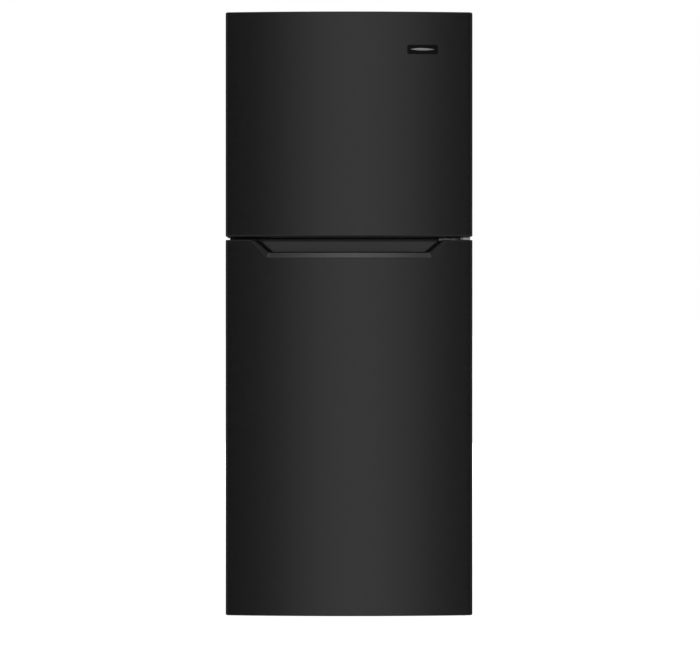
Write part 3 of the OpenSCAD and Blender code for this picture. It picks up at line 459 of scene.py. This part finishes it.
def door_cap(node, name, z, up, cut=None):
    """Moulded end cap with a rounded edge, and the nylon bush for the hinge pin."""
    rows = [(0.0, CAP_T)] + [(run, CAP_R - rise) for run, rise in quarter(CAP_R, 5)]
    bm = bmesh.new()
    loft(bm, [[(x, y, z - up * drop) for x, y in door_outline(inset, DOOR_REAR - inset)]
              for inset, drop in rows])
    obj = piece(name, bm, "black_plastic", body_of[node], (node,))
    hole = bmesh.new()
    lathe(hole, lambda u, v, h: (HINGE_X + u, HINGE_Y + v, z + h), BUSH_HOLE, 48)
    boolean(obj, cutter(hole))
    if cut:
        boolean(obj, cut)
    bm = bmesh.new()
    lathe(bm, lambda u, v, h: (HINGE_X + u, HINGE_Y + v, z + up * h), BUSH, 48)
    piece(name + "_bush", bm, "grey_plastic", body_of[node], (node,))


def door_core(node, hollow=()):
    """Foam between the skin, the caps and the inner door."""
    lo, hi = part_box(node)
    bm = bmesh.new()
    loft(bm, [[(x, y, z) for x, y in door_outline(CORE_GAP, DOOR_REAR - CORE_REAR)]
              for z in (lo.z, hi.z)])
    obj = piece(node + "_core", bm, "foam", body_of[node], (node,))
    for end in (lo.z, hi.z):
        hole = bmesh.new()
        lathe(hole, lambda u, v, h: (HINGE_X + u, HINGE_Y + v, end + h), PIN_HOLE, 48)
        boolean(obj, cutter(hole))
    for tool in hollow:
        boolean(obj, cutter(tool))


GRIP_HALF = 195 * MM
GRIP_Y = (crown_y + 14.5 * MM, SCOOP_BACK)
GRIP_H = 10 * MM
WALL = 2.5 * MM
freezer_lo, freezer_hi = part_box("freezer_door_caps")
fridge_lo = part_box("fridge_door_caps")[0]
door_skin("freezer_door_skin")
door_skin("fridge_door_skin", True)
door_cap("freezer_door_caps", "freezer_cap_top", freezer_hi.z, 1)
grip = bmesh.new()
box_mesh(grip, (-GRIP_HALF, GRIP_Y[0], freezer_lo.z - 9 * MM),
         (GRIP_HALF, GRIP_Y[1], freezer_lo.z + GRIP_H), 2 * MM)
door_cap("freezer_door_caps", "freezer_cap_bottom", freezer_lo.z, -1, cutter(grip))
bm = bmesh.new()
tub(bm, lambda u, v, w: (u, v, freezer_lo.z + 1.2 * MM + w),
    (-GRIP_HALF - WALL, GRIP_HALF + WALL), (GRIP_Y[0] - WALL, GRIP_Y[1] + WALL),
    GRIP_H + WALL - 1.2 * MM, WALL, 4 * MM, 3 * MM)
piece("freezer_grip_tray", bm, "black_plastic", "freezer_door", ("freezer_door_caps",))
door_cap("fridge_door_caps", "fridge_cap_top", DOOR_TOP, 1, scoop_hollow())
door_cap("fridge_door_caps", "fridge_cap_bottom", fridge_lo.z, -1)

tray_room = bmesh.new()
box_mesh(tray_room, (-GRIP_HALF - 3 * MM, GRIP_Y[0] - 3 * MM, freezer_lo.z),
         (GRIP_HALF + 3 * MM, GRIP_Y[1] + 3 * MM, freezer_lo.z + GRIP_H + 3 * MM))
door_core("freezer_door_foam", (tray_room,))
handle_lo, handle_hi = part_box("fridge_door_handle")
trough_room = bmesh.new()
box_mesh(trough_room, (-MOUTH_BOTTOM - 1 * MM, crown_y, handle_lo.z - 1 * MM),
         (MOUTH_BOTTOM + 1 * MM, handle_hi.y + 0.5 * MM, DOOR_TOP))
door_core("fridge_door_foam",
          (scoop_prism(-0.1, (crown_y - 5 * MM, handle_hi.y + 0.5 * MM),
                       DOOR_TOP + 5 * MM), trough_room))

# Handle insert: the bevelled lip, the scoop's wall and the finger groove behind the lip
handle = piece("handle_scoop",
               scoop_prism(0, (crown_y - 5 * MM, handle_hi.y), DOOR_TOP - CAP_T),
               "handle_plastic", "fridge_door", ("fridge_door_handle",))
trough = bmesh.new()
box_mesh(trough, (-MOUTH_BOTTOM, crown_y + 5 * MM, handle_lo.z),
         (MOUTH_BOTTOM, handle_hi.y - 0.2 * MM, DOOR_TOP - MOUTH_H - 6 * MM))
boolean(handle, cutter(trough), "UNION")
boolean(handle, scoop_hollow())
groove = bmesh.new()
box_mesh(groove, (-MOUTH_BOTTOM + 15 * MM, crown_y + 17 * MM, handle_lo.z + WALL),
         (MOUTH_BOTTOM - 15 * MM, SCOOP_BACK - 0.3 * MM, DOOR_TOP - MOUTH_H + 2 * MM),
         3 * MM, 3)
boolean(handle, cutter(groove))
shade(handle)

# Blank name plate: a black plate with rounded ends and a plain lens-shaped bar
badge_lo, badge_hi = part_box("badge")
badge_x, badge_z = (badge_lo.x + badge_hi.x) / 2, (badge_lo.z + badge_hi.z) / 2
half_w, half_h = (badge_hi.x - badge_lo.x) / 2, (badge_hi.z - badge_lo.z) / 2


def badge_layer(name, mat, outline, levels):
    """A layer that follows the door's crown; levels are (shrink, height off the door)."""
    bm = bmesh.new()
    rings = [[(badge_x + x * (1 - shrink), front_y(badge_x + x) - up,
               badge_z + z * (1 - shrink)) for x, z in outline] for shrink, up in levels]
    loft(bm, rings)
    piece(name, bm, mat, "freezer_door", ("badge",))


badge_layer("badge_plate", "badge_black",
            rounded_rect(-half_w, half_w, -half_h, half_h, 4 * MM),
            [(0, -0.1 * MM), (0, 0.8 * MM), (0.01, 1.1 * MM), (0.03, 1.2 * MM)])
LENS_HALF, LENS_H = 29 * MM, 3 * MM
lens_outline = [(LENS_HALF * math.cos(a),
                 LENS_H * math.sin(a) * (0.35 + 0.65 * math.sin(a) ** 2))
                for a in (2 * math.pi * k / 48 for k in range(48))]
badge_layer("badge_bar", "badge_metal", lens_outline,
            [(0, 1.1 * MM), (0, 1.4 * MM), (0.06, 1.6 * MM), (0.2, 1.7 * MM)])

# ------------------------------------------------------ seals and liners

# Compartments: half width, lowest and highest point, and rear wall
FREEZER_HALF, FREEZER_Z, FREEZER_BACK = 240 * MM, (980 * MM, 1436 * MM), 256 * MM
FRIDGE_HALF, FRIDGE_Z, FRIDGE_BACK = 252 * MM, (66 * MM, 900 * MM), 280 * MM
FLANGE_HALF, FREEZER_FLANGE_LOW, FRIDGE_FLANGE_HIGH = 262 * MM, 972 * MM, 908 * MM

# Section of a seal's bellows, as (in from the edge, towards the cabinet), in mm
SEAL_SECTION = [(2, 0), (16, 0), (15.4, 2.6), (12.6, 4.2), (16.6, 6.2), (17.8, 8.4),
                (18, 11.6), (17.2, 12), (4.2, 12), (3.4, 11.4), (3.2, 9.6), (0.6, 7.8),
                (0, 6.2), (1, 4.8), (3.4, 3.4)]
SEAL_CORNER = 20
for node in ("freezer_door_gasket", "fridge_door_gasket"):
    lo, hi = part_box(node)
    bm = bmesh.new()
    loft(bm, [[(x, lo.y + up * MM, z) for x, z in rounded_rect(
        lo.x + i * MM, hi.x - i * MM, lo.z + i * MM, hi.z - i * MM, (SEAL_CORNER - i) * MM)]
        for i, up in SEAL_SECTION], round_trip=True)
    piece(node.replace("gasket", "seal"), bm, "gasket_rubber", body_of[node], (node,))

# Inner doors: a flat plate, and the ridge that reaches into the compartment, in mm
PLATE_CORNER = 3 * MM
PLATE_EDGE = ((1, 2), (0.8, 0.8), (1.6, 0))
RIDGE_W, RIDGE_R = 24, 26
RIDGE = [(-5, 0), (-2, 0.4), (-0.4, 1.8), (0, 4), (1.6, 27), (2.8, 30), (5, 32), (8, 32.5),
         (16, 32.5), (19, 32), (21.2, 30), (22.4, 27), (RIDGE_W, 3), (24.6, 1), (26.6, 0)]
RIDGE_MARGIN = 12 * MM
for door, compartment in (("freezer", FREEZER_Z), ("fridge", FRIDGE_Z)):
    node = door + "_door_liner"
    lo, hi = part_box(node)
    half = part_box(door + "_door_bins")[1].x + (RIDGE_W + 0.5) * MM
    z0, z1 = compartment[0] + RIDGE_MARGIN, compartment[1] - RIDGE_MARGIN
    plate = [(lo.x + i * MM, hi.x - i * MM, lo.z + i * MM, hi.z - i * MM, PLATE_CORNER,
              DOOR_REAR - d * MM) for i, d in PLATE_EDGE]
    swell = [(-half + i * MM, half - i * MM, z0 + i * MM, z1 - i * MM,
              (RIDGE_R - i) * MM if i < RIDGE_W else PLATE_CORNER, DOOR_REAR + up * MM)
             for i, up in RIDGE]
    bm = bmesh.new()
    loft(bm, [[(x, y, z) for x, z in rounded_rect(a, b, c, d, r)]
              for a, b, c, d, r, y in plate + swell])
    piece(door + "_inner_door", bm, "white_plastic", body_of[node], (node,))

INNER_R = 14 * MM
LINER_T = 1.8 * MM
RIM_R = 6 * MM
RIM_DEEP = 10.5 * MM
liner_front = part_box("freezer_liner")[0].y


def liner_rim(name, node, half, z, flange_half, flange_z):
    """Moulded edge of a compartment: rolls from its walls out to the front flange."""
    rows = [(-0.2 * MM, RIM_DEEP), (-0.2 * MM, RIM_R)]
    rows += [(RIM_R * (1 - math.cos(a)), RIM_R * (1 - math.sin(a)))
             for a in (math.radians(15 * k) for k in range(1, 7))]
    rings = [(-half - g, half + g, z[0] - g, z[1] + g, INNER_R + g, liner_front + d)
             for g, d in rows]
    rings += [(-flange_half, flange_half, flange_z[0], flange_z[1], 2 * MM,
               liner_front + d) for d in (0, 2 * MM)]
    rings += [(-half - g, half + g, z[0] - g, z[1] + g, INNER_R + g, liner_front + d)
              for g, d in ((RIM_R, 2 * MM), (LINER_T, RIM_R + 1 * MM), (LINER_T, RIM_DEEP))]
    bm = bmesh.new()
    loft(bm, [[(x, y, zz) for x, zz in rounded_rect(a, b, c, d, r)]
              for a, b, c, d, r, y in rings], round_trip=True)
    piece(name, bm, "white_plastic", "cabinet", (node,))


HUMP_Y, HUMP_Z = 95 * MM, 272 * MM
TUB_FLOOR_R = 16 * MM
liner_rim("freezer_rim", "freezer_liner", FREEZER_HALF, FREEZER_Z, FLANGE_HALF,
          (FREEZER_FLANGE_LOW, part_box("freezer_liner")[1].z))
liner_rim("fridge_rim", "fridge_liner", FRIDGE_HALF, FRIDGE_Z, FLANGE_HALF,
          (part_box("fridge_liner")[0].z, FRIDGE_FLANGE_HIGH))
bm = bmesh.new()
tub_front = liner_front + RIM_R
tub(bm, lambda u, v, w: (u, tub_front + w, v),
    (-FREEZER_HALF - LINER_T, FREEZER_HALF + LINER_T),
    (FREEZER_Z[0] - LINER_T, FREEZER_Z[1] + LINER_T),
    FREEZER_BACK + LINER_T - tub_front, LINER_T, INNER_R + LINER_T, TUB_FLOOR_R)
piece("freezer_tub", bm, "white_plastic", "cabinet", ("freezer_liner",))


def fridge_section(inset):
    """Side view of the lower compartment, open at the front, over the machine's hump."""
    r, grow = INNER_R - inset + 2 * MM, INNER_R + inset
    return rounded_path(
        [(tub_front, FRIDGE_Z[0] + inset), (HUMP_Y - inset, FRIDGE_Z[0] + inset),
         (HUMP_Y - inset, HUMP_Z + inset), (FRIDGE_BACK - inset, HUMP_Z + inset),
         (FRIDGE_BACK - inset, FRIDGE_Z[1] - inset), (tub_front, FRIDGE_Z[1] - inset)],
        [r, grow, r, r])


sides = [(FRIDGE_HALF - run, INNER_R - rise) for run, rise in quarter(INNER_R, 5)]
bm = bmesh.new()
loft(bm, [[(x, y, z) for y, z in fridge_section(inset)]
          for x, inset in [(-x, i) for x, i in sides] + sides[::-1]], joined=False)
tub_obj = piece("fridge_tub", bm, "white_plastic", "cabinet", ("fridge_liner",))
thick = tub_obj.modifiers.new("wall", "SOLIDIFY")
thick.thickness = LINER_T
thick.offset = 1.0


def ledges(name, node, half, y, heights, tall):
    """Rounded runners moulded into both side walls."""
    bm = bmesh.new()
    for top in heights:
        for side in (-1, 1):
            x = sorted((side * (half - 8 * MM), side * (half + 1 * MM)))
            box_mesh(bm, (x[0], y[0], top - tall), (x[1], y[1], top), 2.5 * MM, 3)
    piece(name, bm, "white_plastic", "cabinet", (node,))


SHELVES, RUNNER_Y, RUNNER_H = (292 * MM, 480 * MM, 680 * MM), (-130 * MM, 250 * MM), 6 * MM
WIRE_SHELF, WIRE_RUNNER_Y, WIRE_RUNNER_H = 1211.8 * MM, (-120 * MM, 180 * MM), 9.8 * MM
ledges("freezer_runners", "freezer_liner", FREEZER_HALF, WIRE_RUNNER_Y, (WIRE_SHELF,),
       WIRE_RUNNER_H)
ledges("fridge_runners", "fridge_liner", FRIDGE_HALF, RUNNER_Y, SHELVES, RUNNER_H)

# --------------------------------------------- bins, drawers and shelves


def door_bins(node, rows):
    """Clear bins on an inner door; rows are (floor height, bin height), in mm."""
    lo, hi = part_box(node)
    for i, (z, tall) in enumerate(rows):
        bm = bmesh.new()
        top = (z + tall) * MM
        tub(bm, lambda u, v, w: (u, v, top - w), (lo.x, hi.x), (lo.y, hi.y),
            tall * MM, 2.2 * MM, 16 * MM, 8 * MM, 1.5 * MM)
        piece("%s_%d" % (node, i), bm, "clear_plastic", body_of[node], (node,))


FREEZER_BINS = ((1019, 76), (1226, 76))
FRIDGE_BINS = ((108, 120), (392, 84), (600, 84), (776, 56))
door_bins("freezer_door_bins", FREEZER_BINS)
door_bins("fridge_door_bins", FRIDGE_BINS)

for node in ("left_crisper", "right_crisper"):
    lo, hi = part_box(node)
    bm = bmesh.new()
    tub(bm, lambda u, v, w: (u, v, hi.z - w), (lo.x, hi.x), (lo.y + 8 * MM, hi.y),
        hi.z - lo.z, WALL, 14 * MM, 12 * MM, 1.2 * MM)
    # Pull: a rolled edge hung from the front of the rim
    pull = rounded_path([(9, 0.2), (1, 0), (0, -3), (0, -11), (2, -12), (3, -11), (3.2, -3.4),
                         (9, -3)], [0.8, 1.2, 0.9, 0.7, 0.9, 1], 3)
    ends = [lo.x + 14 * MM, hi.x - 14 * MM]
    loft(bm, [[(x, lo.y + y * MM, hi.z - 0.3 * MM + z * MM) for y, z in pull] for x in ends])
    piece(node + "_drawer", bm, "clear_plastic", body_of[node], (node,))

# Tick marks round the knob, with no numbers
knob_lo, knob_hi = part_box("temperature_knob")
knob_x, knob_z = (knob_lo.x + knob_hi.x) / 2, (knob_lo.z + knob_hi.z) / 2
panel_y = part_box("control_box")[0].y
TICKS, TICK_STEP, TICK_START, TICK_R, TICK_HALF = 9, 30, -30, 20.5 * MM, 0.4 * MM
SHORT_TICK, LONG_TICK = 2.2 * MM, 3.4 * MM
bm = bmesh.new()
for k in range(TICKS):
    a = math.radians(TICK_START + TICK_STEP * k)
    start = len(bm.verts)
    length = SHORT_TICK if k % 4 else LONG_TICK
    box_mesh(bm, (TICK_R, panel_y - 0.35 * MM, -TICK_HALF),
             (TICK_R + length, panel_y + 0.3 * MM, TICK_HALF))
    bm.verts.ensure_lookup_table()
    for v in bm.verts[start:]:
        x, z = v.co.x, v.co.z
        v.co.x = knob_x + x * math.cos(a) - z * math.sin(a)
        v.co.z = knob_z + x * math.sin(a) + z * math.cos(a)
piece("dial_marks", bm, "grey_plastic", "cabinet", ())

# Pan-head screws round the rear panel and the compressor cover
panel_lo, panel_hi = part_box("back_panel")
cover_lo, cover_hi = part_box("machine_cover")
HEAD_H, RECESS = 1.5 * MM, 1.55 * MM
ROW_IN, ROW_LOW, ROW_HIGH = 10 * MM, 25 * MM, 15 * MM
COVER_X, COVER_LOW, COVER_HIGH = (12 * MM, 282 * MM), 14 * MM, 8 * MM
row = panel_hi.z - panel_lo.z - ROW_LOW - ROW_HIGH
spots = [(side * (panel_hi.x - ROW_IN), panel_hi.y - HEAD_H,
          panel_lo.z + ROW_LOW + row * k / 4) for side in (-1, 1) for k in range(5)]
cover_spots = [(side * x, cover_hi.y - RECESS, z) for side in (-1, 1)
               for x in COVER_X for z in (cover_lo.z + COVER_LOW, cover_hi.z - COVER_HIGH)]
bm = bmesh.new()
for x, y, z in spots + cover_spots:
    lathe(bm, lambda u, v, h: (x + u, y + h, z + v),
          [(4.2 * MM, -0.4 * MM), (4.2 * MM, 0.5 * MM), (3.6 * MM, 1.2 * MM),
           (2.2 * MM, 1.5 * MM), (1.6 * MM, 1.5 * MM), (1.2 * MM, 0.6 * MM)], 24)
piece("rear_screws", bm, "zinc_steel", "cabinet", ())

# ------------------------------------------------------- everything else

ROUND = {"cabinet_shell": 0.4, "back_panel": 0.4, "machine_cover": 0.7,
         "top_hinge_cover": 2.2, "top_hinge": 0.5, "center_hinge": 0.7,
         "bottom_hinge": 0.5, "hinge_screws": 0.8, "control_box": 2.0,
         "air_duct_cover": 2.5, "light_cover": 1.2, "temperature_knob": 1.6,
         "shelf_trims": 1.2, "glass_shelves": 0.7, "evaporator_cover": 0.6,
         "compressor": 0.8, "left_leg": 1.0, "right_leg": 1.0, "left_roller": 1.4,
         "right_roller": 1.4, "fan_blade": 0.4, "freezer_shelf": 0.0,
         "refrigerant_lines": 0.0, "condenser_coil": 0.0, "drain_tube": 0.0,
         "evaporator": 0.0, "light_bulb": 2.0, "switch_plunger": 1.2}
DEFAULT_ROUND = 0.5
remade = {"badge", "freezer_liner", "fridge_liner", "left_crisper", "right_crisper"}
for node in sorted(nodes):
    if node in remade or any(word in node for word in
                             ("door_skin", "door_caps", "door_handle", "door_gasket",
                              "door_liner", "door_bins", "door_foam")):
        continue
    if node == "cabinet_insulation":
        nodes[node].data.materials.clear()
        nodes[node].data.materials.append(M[slot_of[node]])
    else:
        softened(node, ROUND.get(node, DEFAULT_ROUND) * MM)

# The compressor cover is dimpled round its screws, so that they lie within it
bm = bmesh.new()
for x, y, z in cover_spots:
    lathe(bm, lambda u, v, h: (x + u, y + h, z + v),
          [(4.6 * MM, 0.4 * MM), (4.9 * MM, 0.6 * MM), (6.2 * MM, 2.0 * MM)])
rear_cover = bpy.data.objects["machine_cover_soft"]
boolean(rear_cover, cutter(bm))
shade(rear_cover)

# Large flat faces keep their own shading next to their rounded edges
cad_objects = set(nodes.values())
for obj in list(scene.objects):
    if obj.type == "MESH" and obj not in cad_objects:
        weighted = obj.modifiers.new("flat_faces", "WEIGHTED_NORMAL")
        weighted.keep_sharp = True

# ------------------------------------------------------------ the studio

FLOOR_SIZE = 60
bm = bmesh.new()
bmesh.ops.create_grid(bm, x_segments=1, y_segments=1, size=FLOOR_SIZE)
floor_mesh = bpy.data.meshes.new("studio_floor")
bm.to_mesh(floor_mesh)
bm.free()
floor = bpy.data.objects.new("studio_floor", floor_mesh)
scene.collection.objects.link(floor)
floor_mesh.materials.append(
    material("studio_floor", (0.5, 0.5, 0.5), 0.9, vary=0.01,
             **{"Emission_Color": (1, 1, 1, 1), "Emission_Strength": 1.0}))
floor.visible_glossy = False
floor.visible_shadow = False


def area_light(name, at, aim, size, power):
    data = bpy.data.lights.new(name, "AREA")
    data.shape = "RECTANGLE"
    data.size, data.size_y = size
    data.energy = power
    obj = bpy.data.objects.new(name, data)
    obj.location = at
    obj.rotation_euler = (Vector(aim) - Vector(at)).to_track_quat("-Z", "Y").to_euler()
    scene.collection.objects.link(obj)
    return obj


area_light("overhead", (0.03, -0.9, 3.6), (0.03, -0.3, 0.9), (0.5, 1.6), 9)
LOW_LIGHT = (2.0, 1.4)
for side, name in ((-1, "left"), (1, "right")):
    flank = area_light(name, (3.0 * side, 1.6, 0.75), (0, 0.1, 0.75), LOW_LIGHT, 55)
    flank.visible_glossy = False
area_light("behind", (0.6, 3.4, 0.75), (0, 0.3, 0.75), LOW_LIGHT, 45)

world = bpy.data.worlds.new("studio")
scene.world = world
world.use_nodes = True
tree = world.node_tree
tree.nodes.clear()


def world_node(kind, **values):
    node = tree.nodes.new(kind)
    for key, value in values.items():
        setattr(node, key, value)
    return node


# Light by compass direction: a narrow upright strip in front of the doors, dark beside
# it, and soft cards, (degrees from the front, strength), at the flanks and behind.
# Towards the zenith it evens out.
STRIP_HALF, STRIP_STRENGTH = 9, 1.42
CARDS = ((180, 0.35), (150, 0.33), (122, 0.2), (98, 0.12), (82, 0.26), (48, 0.65),
         (24, 0.045), (0, 0.05))
ZENITH_STRENGTH = 0.12
coord = world_node("ShaderNodeTexCoord")
flat = world_node("ShaderNodeVectorMath", operation="MULTIPLY")
flat.inputs[1].default_value = (1, 1, 0)
unit = world_node("ShaderNodeVectorMath", operation="NORMALIZE")
ahead = world_node("ShaderNodeVectorMath", operation="DOT_PRODUCT")
ahead.inputs[1].default_value = (0.015, -1, 0)
band = world_node("ShaderNodeMapRange", interpolation_type="SMOOTHERSTEP")
band.inputs["From Min"].default_value = math.cos(math.radians(STRIP_HALF))
band.inputs["From Max"].default_value = 1.0
band.inputs["To Max"].default_value = STRIP_STRENGTH - CARDS[-1][1]
place = world_node("ShaderNodeMapRange")
place.inputs["From Min"].default_value = -1.0
cards = world_node("ShaderNodeValToRGB")
ramp = cards.color_ramp
ramp.interpolation = "EASE"
while len(ramp.elements) < len(CARDS):
    ramp.elements.new(0.5)
for element, (angle, strength) in zip(ramp.elements, CARDS):
    element.position = (1 + math.cos(math.radians(angle))) / 2
    element.color = (strength, strength, strength, 1)
both = world_node("ShaderNodeMath", operation="ADD")
height = world_node("ShaderNodeSeparateXYZ")
steep = world_node("ShaderNodeMath", operation="ABSOLUTE")
fade = world_node("ShaderNodeMapRange", interpolation_type="SMOOTHSTEP")
fade.inputs["From Min"].default_value = math.sin(math.radians(35))
fade.inputs["From Max"].default_value = math.sin(math.radians(65))
level = world_node("ShaderNodeMix", data_type="FLOAT")
level.inputs["B"].default_value = ZENITH_STRENGTH
light = world_node("ShaderNodeBackground")
backdrop = world_node("ShaderNodeBackground")
backdrop.inputs["Strength"].default_value = 1.0
backdrop.inputs["Color"].default_value = (1, 1, 1, 1)
rays = world_node("ShaderNodeLightPath")
choose = world_node("ShaderNodeMixShader")
out = world_node("ShaderNodeOutputWorld")
link = tree.links.new
link(coord.outputs["Generated"], flat.inputs[0])
link(flat.outputs["Vector"], unit.inputs[0])
link(unit.outputs["Vector"], ahead.inputs[0])
link(ahead.outputs["Value"], band.inputs["Value"])
link(ahead.outputs["Value"], place.inputs["Value"])
link(place.outputs["Result"], cards.inputs["Fac"])
link(band.outputs["Result"], both.inputs[0])
link(cards.outputs["Color"], both.inputs[1])
link(coord.outputs["Generated"], height.inputs["Vector"])
link(height.outputs["Z"], steep.inputs[0])
link(steep.outputs["Value"], fade.inputs["Value"])
link(fade.outputs["Result"], level.inputs["Factor"])
link(both.outputs["Value"], level.inputs["A"])
link(level.outputs["Result"], light.inputs["Strength"])
link(rays.outputs["Is Camera Ray"], choose.inputs["Fac"])
link(light.outputs["Background"], choose.inputs[1])
link(backdrop.outputs["Background"], choose.inputs[2])
link(choose.outputs["Shader"], out.inputs["Surface"])

bpy.context.view_layer.update()
